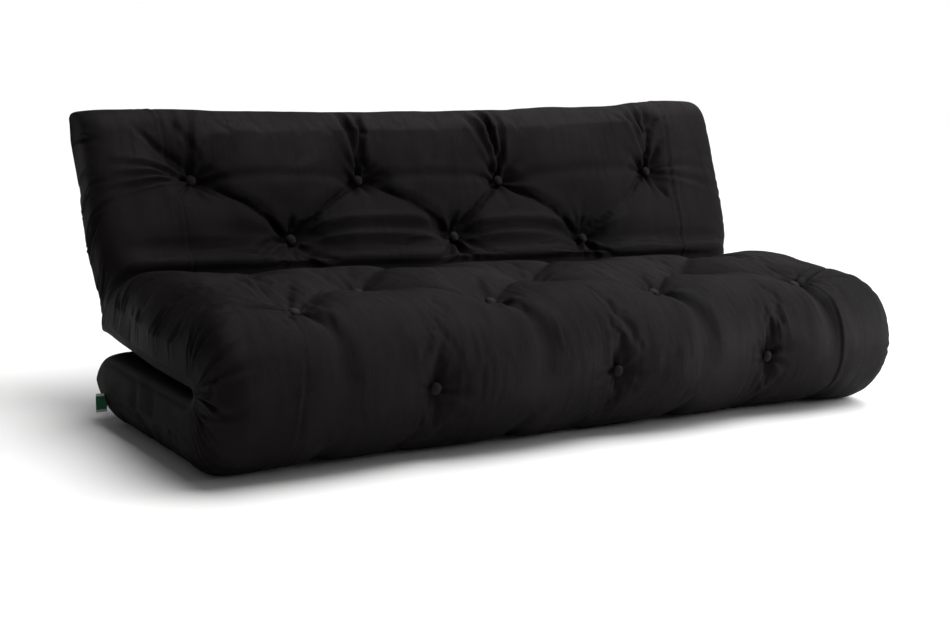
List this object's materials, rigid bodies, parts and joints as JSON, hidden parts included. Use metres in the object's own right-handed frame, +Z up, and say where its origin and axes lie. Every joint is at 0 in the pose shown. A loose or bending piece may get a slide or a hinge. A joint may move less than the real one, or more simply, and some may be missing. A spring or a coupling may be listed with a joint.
{
  "type": "futon mattress",
  "caption": "Button-tufted futon mattress folded in three into a seat with a leaning back, with a base layer that swings out from under the seat.",
  "frame": {"origin": "middle of the base's flat underside", "axes": "+X across the width, +Y from the front fold towards the back, +Z up"},
  "size_m": [2.0215, 0.9826, 0.745],
  "materials": {
    "cover_cloth": "matte",
    "button_cloth": "matte",
    "foam": "matte",
    "cotton_wadding": "matte",
    "washer_felt": "matte",
    "tuft_cord": "matte",
    "label_weave": "matte"
  },
  "bodies": {
    "seat_section": {"seat_buttons_front": "button_cloth", "seat_buttons_middle": "button_cloth", "seat_buttons_rear": "button_cloth", "seat_core": "foam", "seat_cover_centre": "cover_cloth", "seat_cover_left": "cover_cloth", "seat_cover_right": "cover_cloth", "seat_tuft_cords": "tuft_cord", "seat_tuft_washers": "washer_felt", "seat_wadding_inner": "cotton_wadding", "seat_wadding_outer": "cotton_wadding"},
    "front_fold": {"fold_buttons_front": "button_cloth", "fold_cover_centre": "cover_cloth", "fold_cover_left": "cover_cloth", "fold_cover_right": "cover_cloth", "fold_tuft_cords": "tuft_cord", "fold_tuft_washers": "washer_felt", "fold_wadding": "cotton_wadding"},
    "base_section": {"base_buttons_front": "button_cloth", "base_buttons_middle": "button_cloth", "base_buttons_rear": "button_cloth", "base_core": "foam", "base_cover_centre": "cover_cloth", "base_cover_left": "cover_cloth", "base_cover_right": "cover_cloth", "base_tuft_cords": "tuft_cord", "base_tuft_washers": "washer_felt", "base_wadding_inner": "cotton_wadding", "base_wadding_outer": "cotton_wadding", "care_label": "label_weave"},
    "back_section": {"back_buttons_lower": "button_cloth", "back_buttons_upper": "button_cloth", "back_core": "foam", "back_cover_centre": "cover_cloth", "back_cover_left": "cover_cloth", "back_cover_right": "cover_cloth", "back_tuft_cords": "tuft_cord", "back_tuft_washers": "washer_felt", "back_wadding_inner": "cotton_wadding", "back_wadding_outer": "cotton_wadding"}
  },
  "joints": [
    {"name": "fold_upper", "type": "hinge", "parent": "seat_section", "child": "front_fold", "pos_m": [0, -0.231, 0.2515], "axis": [-1, 0, 0], "range_deg": [0, 90]},
    {"name": "fold_lower", "type": "hinge", "parent": "front_fold", "child": "base_section", "pos_m": [0, -0.231, 0.0825], "axis": [-1, 0, 0], "range_deg": [0, 90]},
    {"name": "back_fold", "type": "hinge", "parent": "seat_section", "child": "back_section", "pos_m": [0, 0.395, 0.2515], "axis": [-1, 0, 0], "range_deg": [-10, 65]}
  ],
  "couplings": [
    {"joint": "fold_lower", "follows": "fold_upper", "ratio": 1}
  ]
}
